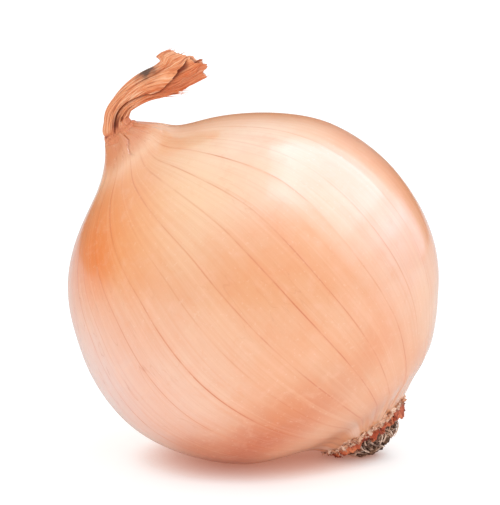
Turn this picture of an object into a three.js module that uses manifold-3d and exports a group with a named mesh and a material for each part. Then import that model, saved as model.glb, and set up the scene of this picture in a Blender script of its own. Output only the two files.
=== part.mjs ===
// A dry yellow onion, lying tilted on the small flat spot of its belly.
//
// It is drawn upright round its growth axis: the origin at the middle of the bulb, +Z towards the
// neck, and the roots at -Z. The whole onion then leans over, neck towards -X, and comes down onto
// the surface Z = 0. Lengths are in millimetres and angles in degrees.
import * as THREE from "three";
import { mergeVertices } from "three/addons/utils/BufferGeometryUtils.js";
import Module from "manifold-3d";

// ---- driving dimensions ----
const LEAN = 41.5; // growth axis from upright
const BULB_RADIUS = 40; // at the equator
const CROWN_FLATTEN = 0.97; // height of the neck half, as a share of the radius
const BASE_FLATTEN = 0.95; // depth of the root half, as a share of the radius
const CROWN_RISE = 8; // how far the crown draws up into the neck
const CROWN_WIDTH = 7.8; // radius over which it does
const BASE_DROP = 3.2; // how far the base draws down to the root plate
const BASE_WIDTH = 10.5; // radius over which it does
const CROWN_END = 3.8; // radius where the bulb hands over to the dry neck
const BASE_END = 9; // radius where it hands over to the root plate
const CROWN_SHIFT = 1.4; // how far off the growth axis the neck stands
const ROOT_SHIFT = -1.4; // and the root plate
const ROOT_TILT = 6.5; // the root plate faces a little back towards -X
const TILT_RISE = [26, 38.5]; // depths over which the base turns with it
const MIDDLE_SHIFT = 0.5; // how far off the growth axis the bulb's middle is
const ROOTWARD_SWING = { reach: 1.4, out: [0, 30], back: [33, 38.5] }; // depths where the middle swings out
const NECKWARD_SWING = { reach: -1.9, out: [15, 34], back: [35, 41] }; // and heights where it swings back
const CROWN_SETTLE = [36, 43]; // heights over which it comes under the neck
const BROAD_LOBES = { count: 3, depth: 0.28, turn: 0.8 }; // left by the fleshy scales inside
const FINE_LOBES = { count: 5, depth: 0.2, turn: 2.1, lean: 30 };
const LOBE_FADE = [24, 38]; // heights over which the lobes die out
const FLAT_DEPTH = 0.45; // how deep the resting spot is pressed into the belly
const NECK_FOOT_WIDTH = 6.8; // across the neck where it leaves the bulb
const NECK_WAIST = 5.1; // and just above
const NECK_FAN = 9.6; // and at its spread tip
const NECK_THICK = 5;
const NECK_TIP_THICK = 3.6;
const NECK_SLANT = 2; // the torn tip reaches further on one edge
const PLATE_RADIUS = 7.2;
const PLATE_THICK = 1.6;
const PLATE_DOME = 0.4;
const RIM_INNER = 7.65; // torn scale, inside and outside
const RIM_OUTER = 8.9;
const RIM_HANG = 2.2; // how far it hangs past the base of the bulb
const RIM_LIP = 0.35; // how much its hanging edge is thinned from inside
const TUFT_RADIUS = 6.4;
const TUFT_DEPTH = 3.6;
const ROOT_RADIUS = 0.7;
const ROOT_COUNT = 26;
const GAP = 0.3; // left between neighbouring solids
const FLOOR_CLEARANCE = 0.15; // under the lowest roots

const radians = THREE.MathUtils.degToRad;
const { clamp, lerp, smoothstep } = THREE.MathUtils;

// ---- solids from geometries, for cutting and joining ----
const wasm = await Module();
wasm.setup();

function solidOf(geometry) {
  const bare = new THREE.BufferGeometry();
  bare.setAttribute("position", geometry.getAttribute("position"));
  bare.setIndex(geometry.index);
  const merged = mergeVertices(bare, 1e-4);
  return new wasm.Manifold(
    new wasm.Mesh({
      numProp: 3,
      vertProperties: new Float32Array(merged.getAttribute("position").array),
      triVerts: new Uint32Array(merged.index.array),
    }),
  );
}

function geometryOf(solid) {
  const mesh = solid.getMesh();
  const geometry = new THREE.BufferGeometry();
  geometry.setAttribute("position", new THREE.BufferAttribute(mesh.vertProperties, 3));
  geometry.setIndex(new THREE.BufferAttribute(mesh.triVerts, 1));
  geometry.computeVertexNormals();
  return geometry;
}

// The largest closed surface of a solid: small voids between crossing pieces are filled, and chips dropped.
function outerSkin(solid) {
  return solid.decompose().reduce((a, b) => (a.volume() > b.volume() ? a : b));
}

// Moves every vertex of a geometry to where place(vertex) says.
function reshape(geometry, place) {
  const position = geometry.getAttribute("position");
  const vertex = new THREE.Vector3();
  for (let i = 0; i < position.count; i++) {
    const moved = place(vertex.fromBufferAttribute(position, i));
    position.setXYZ(i, moved.x, moved.y, moved.z);
  }
  geometry.computeVertexNormals();
  return geometry;
}

// A number from 0 to 1 that looks random and is the same each time.
function chance(n) {
  const wave = Math.sin(n * 127.1 + 11.7) * 43758.5453;
  return wave - Math.floor(wave);
}

// ---- the bulb ----
// Height of the crown and of the base over the equator, at a distance from the growth axis.
function crownHeight(radius) {
  const dome = CROWN_FLATTEN * Math.sqrt(BULB_RADIUS ** 2 - radius ** 2);
  return dome + CROWN_RISE * Math.exp(-((radius / CROWN_WIDTH) ** 2));
}

function baseDepth(radius) {
  const dome = BASE_FLATTEN * Math.sqrt(BULB_RADIUS ** 2 - radius ** 2);
  return dome + BASE_DROP * Math.exp(-((radius / BASE_WIDTH) ** 4));
}

// The growth axis isn't quite straight: how far the bulb's middle is off it, at a height.
function axisSwing(height) {
  const swing = (along, { reach, out, back }) =>
    reach * smoothstep(along, ...out) * (1 - smoothstep(along, ...back));
  const atRoots = smoothstep(-height, ...ROOTWARD_SWING.back);
  const atNeck = smoothstep(height, ...CROWN_SETTLE);
  const shift = lerp(lerp(MIDDLE_SHIFT, ROOT_SHIFT, atRoots), CROWN_SHIFT, atNeck);
  return shift + swing(-height, ROOTWARD_SWING) + swing(height, NECKWARD_SWING);
}

// Shallow lobes, gone at both ends.
function lobes(angle, height) {
  const broad = BROAD_LOBES.depth * Math.cos(BROAD_LOBES.count * angle + BROAD_LOBES.turn);
  const fineTurn = FINE_LOBES.turn + height / FINE_LOBES.lean;
  const fine = FINE_LOBES.depth * Math.cos(FINE_LOBES.count * angle + fineTurn);
  return (broad + fine) * (1 - smoothstep(Math.abs(height), ...LOBE_FADE));
}

function bulbGeometry() {
  const rings = 40;
  const around = 64;
  const crowding = 0.25; // draws the rings together towards both ends
  const startAngle = Math.asin(BASE_END / BULB_RADIUS);
  const endAngle = Math.PI - Math.asin(CROWN_END / BULB_RADIUS);
  const profile = [new THREE.Vector2(0, -baseDepth(BASE_END))];
  for (let i = 0; i <= rings; i++) {
    const t = i / rings;
    const eased = t - (crowding / Math.PI) * Math.sin(2 * Math.PI * t);
    const polar = lerp(startAngle, endAngle, eased);
    const radius = BULB_RADIUS * Math.sin(polar);
    const height = polar < Math.PI / 2 ? -baseDepth(radius) : crownHeight(radius);
    profile.push(new THREE.Vector2(radius, height));
  }
  profile.push(new THREE.Vector2(0, crownHeight(CROWN_END)));
  const geometry = new THREE.LatheGeometry(profile, around).rotateX(Math.PI / 2);
  return reshape(geometry, (v) => {
    const angle = Math.atan2(v.y, v.x);
    const radius = Math.hypot(v.x, v.y);
    const grown = radius + lobes(angle, v.z) * (radius / BULB_RADIUS);
    const across = grown * Math.cos(angle);
    const tilted = Math.tan(radians(ROOT_TILT)) * across * smoothstep(-v.z, ...TILT_RISE);
    return v.set(across + axisSwing(v.z), grown * Math.sin(angle), v.z - tilted);
  });
}

// How far below the bulb's middle its lowest point lies once the onion leans over.
function lowestReach(geometry) {
  const leaned = geometry.clone().rotateY(-radians(LEAN));
  leaned.computeBoundingBox();
  return -leaned.boundingBox.min.z;
}

// Everything below the surface that the onion rests on, drawn in the onion's own upright frame.
function underFloor(depth) {
  const size = 4 * BULB_RADIUS;
  return new THREE.BoxGeometry(size, size, size)
    .translate(0, 0, -depth - size / 2)
    .rotateY(radians(LEAN));
}

// ---- the dry neck: withered leaf bases, bent over and spread at the tip ----
const NECK_FOOT = crownHeight(CROWN_END) + GAP;
const neckLine = new THREE.CatmullRomCurve3(
  [
    new THREE.Vector3(CROWN_SHIFT, 0.0, NECK_FOOT),
    new THREE.Vector3(1.6, 0.0, NECK_FOOT + 0.8),
    new THREE.Vector3(2.4, -0.1, NECK_FOOT + 1.9),
    new THREE.Vector3(3.9, -0.2, NECK_FOOT + 3.0),
    new THREE.Vector3(6.1, -0.3, NECK_FOOT + 3.7),
    new THREE.Vector3(8.8, -0.3, NECK_FOOT + 3.8),
    new THREE.Vector3(12.0, 0.0, NECK_FOOT + 3.4),
    new THREE.Vector3(15.7, 0.3, NECK_FOOT + 2.2),
    new THREE.Vector3(19.3, 0.5, NECK_FOOT + 1.4),
    new THREE.Vector3(23.0, 0.6, NECK_FOOT + 0.7),
  ],
  false,
  "centripetal",
);

function neckGeometry() {
  const along = 26;
  const around = 28;
  const folds = 7;
  const footFold = 0.05; // depth of a fold as a share of the radius, at the foot and at the tip
  const tipFold = 0.1;
  const twist = 1.6; // radians that the folds turn through from foot to tip
  const footEnd = 0.13; // shares of the length: where the flare of the foot ends,
  const foldStart = 0.1; // where the folds are fully there,
  const uprightEnd = 0.22; // where the neck has left the bulb's own direction,
  const fanStart = 0.25; // where it begins to spread,
  const tearStart = 0.65; // and where its tip is torn from
  const geometry = new THREE.CylinderGeometry(1, 1, 1, around, along);
  return reshape(geometry, (v) => {
    const t = clamp(v.y + 0.5, 0, 1);
    const angle = Math.atan2(v.z, v.x);
    const reach = Math.hypot(v.x, v.z);
    const spread = smoothstep(t, fanStart, 1);
    const foot = (NECK_FOOT_WIDTH - NECK_WAIST) * (1 - smoothstep(t, 0, footEnd));
    const width = (lerp(NECK_WAIST, NECK_FAN, spread) + foot) / 2;
    const thick = (lerp(NECK_THICK, NECK_TIP_THICK, spread) + foot) / 2;
    const deep = lerp(footFold, tipFold, t) * smoothstep(t, 0, foldStart);
    const fold = 1 + deep * Math.cos(folds * angle + twist * t);
    const at = neckLine.getPointAt(t);
    const upright = new THREE.Vector3(0, 0, 1);
    const tangent = neckLine.getTangentAt(t).lerp(upright, 1 - smoothstep(t, 0, uprightEnd)).normalize();
    const depth = new THREE.Vector3(0, 1, 0);
    const across = new THREE.Vector3().crossVectors(depth, tangent).normalize();
    const ragged = 0.8 * Math.cos(3 * angle + 1) - 0.6 * Math.cos(7 * angle);
    const torn = ragged - NECK_SLANT * Math.cos(angle);
    return v
      .copy(at)
      .addScaledVector(across, -width * reach * fold * Math.cos(angle))
      .addScaledVector(depth, thick * reach * fold * Math.sin(angle))
      .addScaledVector(tangent, torn * reach * smoothstep(t, tearStart, 1));
  });
}

// ---- the root end, drawn hanging down from its own origin and then set on the base of the bulb ----
function atRootEnd(geometry) {
  return geometry
    .rotateY(radians(ROOT_TILT))
    .translate(ROOT_SHIFT, 0, -baseDepth(BASE_END) - GAP);
}

function plateGeometry() {
  const around = 36;
  const profile = [
    new THREE.Vector2(0, -PLATE_THICK - PLATE_DOME),
    new THREE.Vector2(PLATE_RADIUS * 0.55, -PLATE_THICK - PLATE_DOME / 2),
    new THREE.Vector2(PLATE_RADIUS * 0.88, -PLATE_THICK + PLATE_DOME),
    new THREE.Vector2(PLATE_RADIUS, -PLATE_THICK / 2),
    new THREE.Vector2(PLATE_RADIUS * 0.97, 0),
    new THREE.Vector2(0, 0),
  ];
  return new THREE.LatheGeometry(profile, around).rotateX(Math.PI / 2);
}

// The ring of torn dry scale left standing round the root plate.
function rimGeometry() {
  const around = 54;
  const profile = [
    new THREE.Vector2(RIM_INNER, 0),
    new THREE.Vector2(RIM_INNER, -RIM_HANG / 2),
    new THREE.Vector2(RIM_INNER + RIM_LIP, -RIM_HANG),
    new THREE.Vector2(RIM_OUTER, -RIM_HANG * 0.6),
    new THREE.Vector2(RIM_OUTER, 0),
    new THREE.Vector2(RIM_INNER, 0),
  ];
  const geometry = new THREE.LatheGeometry(profile, around).rotateX(Math.PI / 2);
  return reshape(geometry, (v) => {
    const angle = Math.atan2(v.y, v.x);
    const hang = smoothstep(-v.z, 0, RIM_HANG);
    const torn = 0.4 * Math.cos(9 * angle) + 0.3 * Math.cos(17 * angle + 2);
    const flare = 1 + hang * 0.05 * (1 + Math.cos(13 * angle + 1));
    return v.set(v.x * flare, v.y * flare, v.z - hang * torn);
  });
}

// One dried root, lying bent along the underside of the tuft.
function rootGeometry(index, top) {
  const golden = Math.PI * (3 - Math.sqrt(5));
  const angle = index * golden;
  const out = TUFT_RADIUS * 0.85 * Math.sqrt((index + 0.5) / ROOT_COUNT);
  const turn = angle + lerp(1, 2.4, chance(index));
  const drift = lerp(1.4, 3, chance(index + 40));
  const low = top - TUFT_DEPTH * lerp(0.85, 1.15, chance(index + 80)) * (1 - 0.35 * (out / TUFT_RADIUS) ** 2);
  const foot = new THREE.Vector3(out * Math.cos(angle), out * Math.sin(angle), top - TUFT_DEPTH / 2);
  const bend = foot.clone().setZ(low);
  const tip = bend.clone().add(new THREE.Vector3(drift * Math.cos(turn), drift * Math.sin(turn), 0.5));
  const line = new THREE.QuadraticBezierCurve3(foot, bend, tip);
  const sides = 6;
  const steps = 4;
  return reshape(new THREE.CylinderGeometry(1, 1, 1, sides, steps), (v) => {
    const t = clamp(v.y + 0.5, 0, 1);
    const tangent = line.getTangent(t);
    const aside = new THREE.Vector3(-Math.sin(turn), Math.cos(turn), 0);
    const ahead = new THREE.Vector3().crossVectors(tangent, aside);
    const radius = ROOT_RADIUS * lerp(1.2, 0.7, t);
    const { x, z } = v;
    return v
      .copy(line.getPoint(t))
      .addScaledVector(ahead, radius * x)
      .addScaledVector(aside, radius * z);
  });
}

function tuftSolid() {
  const top = -PLATE_THICK - PLATE_DOME - GAP;
  const matDepth = TUFT_DEPTH * 0.8;
  const mat = new THREE.SphereGeometry(1, 24, 10)
    .rotateX(Math.PI / 2)
    .scale(TUFT_RADIUS, TUFT_RADIUS, matDepth / 2)
    .translate(0, 0, top - matDepth / 2);
  let tuft = solidOf(atRootEnd(mat));
  for (let i = 0; i < ROOT_COUNT; i++) tuft = tuft.add(solidOf(atRootEnd(rootGeometry(i, top))));
  return outerSkin(tuft);
}

// ---- looks and assembly ----
const drySkin = new THREE.MeshStandardMaterial({ color: 0xf0aa72, roughness: 0.38, metalness: 0 });
const dryLeaf = new THREE.MeshStandardMaterial({ color: 0xc47a48, roughness: 0.75, metalness: 0 });
const tornScale = new THREE.MeshStandardMaterial({ color: 0x9a4527, roughness: 0.8, metalness: 0 });
const cork = new THREE.MeshStandardMaterial({ color: 0x9c8260, roughness: 0.9, metalness: 0 });
const dryRoot = new THREE.MeshStandardMaterial({ color: 0xa08c6c, roughness: 0.9, metalness: 0 });

function named(name, geometry, material) {
  const mesh = new THREE.Mesh(geometry, material);
  mesh.name = name;
  return mesh;
}

const wholeBulb = bulbGeometry();
const restingHeight = lowestReach(wholeBulb) - FLAT_DEPTH;
const bulb = solidOf(wholeBulb).subtract(solidOf(underFloor(restingHeight)));
const nearFloor = solidOf(underFloor(restingHeight - FLOOR_CLEARANCE));
const rim = solidOf(atRootEnd(rimGeometry())).subtract(nearFloor);
const tuft = tuftSolid().subtract(nearFloor);

const onion = new THREE.Group();
onion.add(
  named("bulb", geometryOf(bulb), drySkin),
  named("dry_neck", neckGeometry(), dryLeaf),
  named("torn_scale_rim", geometryOf(rim), tornScale),
  named("root_plate", atRootEnd(plateGeometry()), cork),
  named("root_tuft", geometryOf(tuft), dryRoot),
);
onion.rotation.y = -radians(LEAN);
onion.position.z = restingHeight;

// The part's origin is under the middle of its bounding box.
const middle = new THREE.Box3().setFromObject(onion, true).getCenter(new THREE.Vector3());
onion.position.x = -middle.x;
onion.position.y = -middle.y;

const part = new THREE.Group();
part.add(onion);

export default part;
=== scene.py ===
"""A dry yellow onion lying on its belly, on a plain white floor in soft studio light.

The onion is drawn upright round its growth axis in millimetres, neck towards +Z and roots at -Z, and
then leaned over onto the floor by place(), which also turns millimetres into metres.
"""

import math

import bpy
import numpy as np
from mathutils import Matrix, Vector


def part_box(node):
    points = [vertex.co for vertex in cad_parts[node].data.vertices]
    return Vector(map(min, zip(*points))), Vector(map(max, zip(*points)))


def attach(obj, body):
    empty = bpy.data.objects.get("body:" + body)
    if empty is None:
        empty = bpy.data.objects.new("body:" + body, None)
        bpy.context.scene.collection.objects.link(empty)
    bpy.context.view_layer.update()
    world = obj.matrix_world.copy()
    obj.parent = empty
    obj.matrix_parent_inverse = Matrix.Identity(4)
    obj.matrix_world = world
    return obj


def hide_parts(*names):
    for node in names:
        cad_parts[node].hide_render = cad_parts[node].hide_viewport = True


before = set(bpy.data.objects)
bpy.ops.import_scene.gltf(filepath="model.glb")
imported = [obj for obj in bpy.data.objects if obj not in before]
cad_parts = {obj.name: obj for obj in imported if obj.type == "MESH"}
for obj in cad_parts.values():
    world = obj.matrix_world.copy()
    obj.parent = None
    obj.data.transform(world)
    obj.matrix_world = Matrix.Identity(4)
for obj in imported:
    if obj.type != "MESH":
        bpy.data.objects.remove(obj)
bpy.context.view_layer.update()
rng = np.random.default_rng(7)

# ---- the onion's dimensions, in millimetres and degrees ----
LEAN = math.radians(41.5)  # growth axis from upright
BULB_RADIUS = 40.0
CROWN_FLATTEN, BASE_FLATTEN = 0.97, 0.95
CROWN_RISE, CROWN_WIDTH = 8.0, 7.8
BASE_DROP, BASE_WIDTH = 3.2, 10.5
CROWN_END, BASE_END = 3.8, 9.0
CROWN_SHIFT, ROOT_SHIFT = 1.4, -1.4
ROOT_TILT = math.radians(6.5)
GAP = 0.3
PLATE_RADIUS, PLATE_DEPTH = 7.2, 2.0
TUFT_RADIUS, TUFT_DEPTH = 6.5, 4.3
RIM_RADIUS = 8.4
NECK_FOOT_RADIUS = 3.9

# ---- rows and columns of each mesh, and how many there are of each small thing ----
BULB_ROWS, BULB_COLUMNS = 156, 600
NECK_ROWS, NECK_COLUMNS, SKIRT_ROWS, HOLLOW_ROWS = 190, 420, 22, 14
PLATE_ROWS, PLATE_COLUMNS = 26, 120
RING_COLUMNS, RIM_ROWS, COLLAR_ROWS = 420, 18, 20
MAT_ROWS, MAT_COLUMNS = 60, 160
FLAKE_ROWS, FLAKE_COLUMNS = 6, 5
STRAND_SIDES = 6
VEIN_COUNT = 29
FIBRE_COUNT, FIBRE_STEPS = 52, 12
TORN_FLAKES, PALE_FLAKES = 110, 260
STRAND_COUNT, STRAND_STEPS, STRAND_STRIDE = 440, 17, 0.5

# ---- the least height of each kind of piece over the floor, in metres ----
SKIN_CLEARANCE = 0.00002
RING_CLEARANCE = 0.00008
FLAKE_CLEARANCE = 0.0001
STRAND_CLEARANCE = 0.00012
MAT_CLEARANCE = 0.0002

SIDEWAYS = np.array([0.0, 1.0, 0.0])


# ---- small tools ----
def smoothstep(x, low, high):
    t = np.clip((x - low) / (high - low), 0.0, 1.0)
    return t * t * (3 - 2 * t)


def lerp(a, b, t):
    return a + (b - a) * t


def bell(x, width):
    return np.exp(-((x / width) ** 2))


def vectors(*parts):
    """Vectors from arrays of their parts."""
    return np.stack(parts, axis=-1)


def unit_length(v):
    return v / np.maximum(np.linalg.norm(v, axis=-1, keepdims=True), 1e-9)


def wrap(angle):
    """An angle brought into -pi to pi."""
    return (angle + np.pi) % (2 * np.pi) - np.pi


def noise(points, seed=0):
    """Smooth value noise from -1 to 1, one feature per unit."""
    p = np.asarray(points, float)
    cell = np.floor(p).astype(np.int64)
    f = p - cell
    f = f * f * (3 - 2 * f)
    total = np.zeros(p.shape[:-1])
    for corner in range(8):
        step = np.array([corner & 1, corner >> 1 & 1, corner >> 2 & 1])
        c = cell + step
        h = c[..., 0] * 374761393 + c[..., 1] * 668265263 + c[..., 2] * 2147483647 + seed * 1274126177
        h = (h ^ (h >> 13)) * 1274126177
        h = h ^ (h >> 16)
        value = (h & 0xFFFFFF) / float(0xFFFFFF)
        total += value * np.prod(np.where(step == 1, f, 1 - f), axis=-1)
    return 2 * total - 1


def octaves(points, count, seed=0):
    """Noise with finer and weaker layers added."""
    p = np.asarray(points, float)
    return sum(noise(p * 2**k, seed + k) / 2**k for k in range(count))


def around(angle, repeats, *rest):
    """Noise coordinates that close up round a circle: about `repeats` features in a turn."""
    k = repeats / (2 * np.pi)
    return vectors(*np.broadcast_arrays(np.cos(angle) * k, np.sin(angle) * k, *rest))


def ring_noise(angle, repeats, seed):
    """Noise that changes only round a circle."""
    return noise(around(angle, repeats, 0 * angle), seed)


def normals_of(grid):
    """Outward normals of a grid of rows running up (axis 0) and columns running round (axis 1)."""
    up = np.gradient(grid, axis=0)
    turn = np.roll(grid, -1, axis=1) - np.roll(grid, 1, axis=1)
    return unit_length(np.cross(turn, up))


# The bulb's middle in the row frame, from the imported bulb's box.
bulb_low, bulb_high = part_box("bulb")


def crown_height(radius):
    dome = CROWN_FLATTEN * np.sqrt(BULB_RADIUS**2 - radius**2)
    return dome + CROWN_RISE * bell(radius, CROWN_WIDTH)


def base_depth(radius):
    dome = BASE_FLATTEN * np.sqrt(BULB_RADIUS**2 - radius**2)
    return dome + BASE_DROP * np.exp(-((radius / BASE_WIDTH) ** 4))


def base_fill(radius):
    """Dry skin bridging the hollow round the root end."""
    return 0.42 * bell(radius - 12.9, 2.7)


def axis_swing(z):
    to_roots = smoothstep(-z, 0, 30) * (1 - smoothstep(-z, 33, 38.5))
    to_neck = smoothstep(z, 15, 34) * (1 - smoothstep(z, 35, 41))
    at_roots = (ROOT_SHIFT - 0.5) * smoothstep(-z, 33, 38.5)
    at_neck = (CROWN_SHIFT - 0.5) * smoothstep(z, 36, 43)
    return 0.5 + 1.4 * to_roots - 1.9 * to_neck + at_roots + at_neck


def bulb_grid(rows, columns):
    """The smooth bulb: angle, share of the way from roots to neck, and the points, in millimetres."""
    share = np.linspace(0, 1, rows)
    eased = share - 0.25 / np.pi * np.sin(2 * np.pi * share)
    polar = lerp(math.asin(BASE_END / BULB_RADIUS), math.pi - math.asin(CROWN_END / BULB_RADIUS), eased)
    radius = BULB_RADIUS * np.sin(polar)
    z = np.where(polar < np.pi / 2, -base_depth(radius), crown_height(radius))
    angle = np.linspace(0, 2 * np.pi, columns, endpoint=False)
    angle, radius, z = np.meshgrid(angle, radius, indexing="xy")[0], radius[:, None], z[:, None]
    waves = 0.28 * np.cos(3 * angle + 0.8) + 0.2 * np.cos(5 * angle + z / 30 + 2.1)
    grown = radius + waves * (1 - smoothstep(np.abs(z), 24, 38)) * radius / BULB_RADIUS
    x = grown * np.cos(angle)
    tilted = math.tan(ROOT_TILT) * x * smoothstep(-z, 26, 38.5)
    points = vectors(x + axis_swing(z), grown * np.sin(angle), z - tilted)
    return angle, np.broadcast_to(share[:, None], angle.shape), points


def lean(points):
    """Upright millimetres, leaned over."""
    c, s = math.cos(LEAN), math.sin(LEAN)
    p = np.asarray(points, float)
    return vectors(p[..., 0] * c - p[..., 2] * s, p[..., 1], p[..., 0] * s + p[..., 2] * c)


leaned = lean(bulb_grid(160, 256)[2]).reshape(-1, 3)
cad_low, cad_high = np.array(bulb_low) * 1000, np.array(bulb_high) * 1000
shift = (cad_low + cad_high) / 2 - (leaned.min(0) + leaned.max(0)) / 2
shift[2] = cad_high[2] - leaned[:, 2].max()


def place(points):
    """Upright millimetres to metres in the row frame."""
    return (lean(points) + shift) / 1000


def set_down(points, clearance):
    """Placed points, with none lower than the clearance."""
    placed = place(points)
    placed[..., 2] = np.maximum(placed[..., 2], clearance)
    return placed


def turn_grid(rows, columns, low=0.0, high=1.0):
    """Shares from low to high up the rows and angles round the columns, as two grids."""
    turn = np.linspace(0, 2 * np.pi, columns, endpoint=False)
    return np.meshgrid(np.linspace(low, high, rows), turn, indexing="ij")


def at_root_end(points):
    """Points drawn hanging below the root end's own origin, moved onto the base of the bulb."""
    p = np.asarray(points, float)
    c, s = math.cos(ROOT_TILT), math.sin(ROOT_TILT)
    x, z = p[..., 0] * c + p[..., 2] * s, -p[..., 0] * s + p[..., 2] * c
    return vectors(x + ROOT_SHIFT, p[..., 1], z - base_depth(BASE_END) - GAP)


def make_piece(name, vertices, faces, material, slot, node=None, **attributes):
    """A mesh piece from placed vertices in metres, with per-vertex attributes, riding on the onion."""
    mesh = bpy.data.meshes.new(name)
    mesh.from_pydata(np.asarray(vertices).reshape(-1, 3).tolist(), [], faces)
    mesh.validate()
    mesh.polygons.foreach_set("use_smooth", [True] * len(mesh.polygons))
    for key, values in attributes.items():
        values = np.asarray(values, np.float32)
        if values.ndim == 1:
            mesh.attributes.new(key, "FLOAT", "POINT").data.foreach_set("value", values)
        else:
            mesh.attributes.new(key, "FLOAT_VECTOR", "POINT").data.foreach_set("vector", values.ravel())
    mesh.materials.append(material)
    piece = bpy.data.objects.new(name, mesh)
    bpy.context.scene.collection.objects.link(piece)
    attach(piece, "root")
    if node:
        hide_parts(node)


def grid_faces(rows, columns, start=0):
    """Quads of a tube of rows and columns, closed round, with an n-gon over each end."""
    i, j = np.meshgrid(np.arange(rows - 1), np.arange(columns), indexing="ij")
    low, high, k = i * columns, (i + 1) * columns, (j + 1) % columns
    quads = vectors(low + j, low + k, high + k, high + j)
    faces = (quads.reshape(-1, 4) + start).tolist()
    faces.append(list(range(start + columns - 1, start - 1, -1)))
    faces.append(list(range(start + (rows - 1) * columns, start + rows * columns)))
    return faces


# ---- materials ----
def rgb(red, green, blue):
    """A display colour from 0 to 255, as linear red, green, blue and alpha."""
    c = np.array([red, green, blue]) / 255
    return (*np.where(c <= 0.04045, c / 12.92, ((c + 0.055) / 1.055) ** 2.4).tolist(), 1.0)


class Paint:
    """A procedural material, put together from nodes."""

    def __init__(self, name):
        self.material = bpy.data.materials.new(name)
        self.material.use_nodes = True
        self.tree = self.material.node_tree
        self.shader = self.tree.nodes["Principled BSDF"]

    def node(self, kind, inputs=(), **settings):
        made = self.tree.nodes.new(kind)
        for key, value in settings.items():
            setattr(made, key, value)
        self.feed(made, inputs)
        return made

    def feed(self, node, inputs):
        for key, value in dict(inputs).items():
            if isinstance(value, bpy.types.NodeSocket):
                self.tree.links.new(value, node.inputs[key])
            else:
                node.inputs[key].default_value = value

    def attribute(self, name, kind="Vector"):
        return self.node("ShaderNodeAttribute", attribute_name=name).outputs[kind]

    def math(self, operation, a, b=0.0):
        return self.node("ShaderNodeMath", {0: a, 1: b}, operation=operation).outputs[0]

    def times(self, a, b):
        return self.math("MULTIPLY", a, b)

    def scaled(self, vector, scale):
        return self.node("ShaderNodeVectorMath", {0: vector, 1: scale}, operation="MULTIPLY").outputs[0]

    def noise(self, vector, scale, detail=3.0, roughness=0.55, distortion=0.0):
        values = {"Vector": vector, "Scale": scale, "Detail": detail, "Roughness": roughness}
        return self.node("ShaderNodeTexNoise", {**values, "Distortion": distortion}).outputs["Fac"]

    def ramp(self, value, low, high, to_low=0.0, to_high=1.0):
        values = {"Value": value, "From Min": low, "From Max": high, "To Min": to_low, "To Max": to_high}
        return self.node("ShaderNodeMapRange", values, interpolation_type="SMOOTHSTEP").outputs["Result"]

    def mix(self, share, a, b):
        return self.node("ShaderNodeMix", {0: share, 6: a, 7: b}, data_type="RGBA").outputs[2]

    def coats(self, colour, table):
        """A colour with coats over it: what each follows, from where to where, how thick, and its shade."""
        for value, low, high, most, shade in table:
            colour = self.mix(self.ramp(value, low, high, 0.0, most), colour, rgb(*shade))
        return colour

    def bump(self, height, strength, distance):
        values = {"Height": height, "Strength": strength, "Distance": distance}
        return self.node("ShaderNodeBump", values).outputs["Normal"]

    def parts(self, attribute):
        """The three numbers that a vector attribute carries."""
        return self.node("ShaderNodeSeparateXYZ", {0: self.attribute(attribute)}).outputs

    def spot(self):
        return self.node("ShaderNodeTexCoord").outputs["Object"]


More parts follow.
